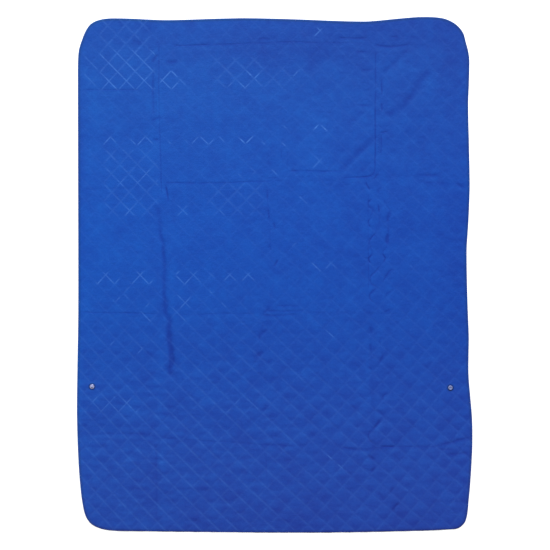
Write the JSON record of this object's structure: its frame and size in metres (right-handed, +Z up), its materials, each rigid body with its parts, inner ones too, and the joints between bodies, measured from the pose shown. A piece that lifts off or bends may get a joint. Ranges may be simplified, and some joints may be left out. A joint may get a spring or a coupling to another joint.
{
  "type": "picnic blanket",
  "caption": "Flat quilted picnic blanket with rounded corners, diamond welds and packing creases, and a press stud and socket near its side edges.",
  "frame": {"origin": "centre of the blanket's outline box, on the ground side", "axes": "+X across the blanket, +Y along it towards the end without fasteners, +Z up out of the quilted face"},
  "size_m": [1.3106, 1.7086, 0.0063],
  "materials": {
    "cloth": "smooth polyester weave with a soft sheen, welded in diamonds",
    "snap_metal": "plated, satin"
  },
  "bodies": {
    "root": {"quilted_panel": "cloth", "snap_stud": "snap_metal", "snap_stud_cap": "snap_metal", "snap_socket": "snap_metal", "snap_socket_cap": "snap_metal"}
  },
  "joints": []
}
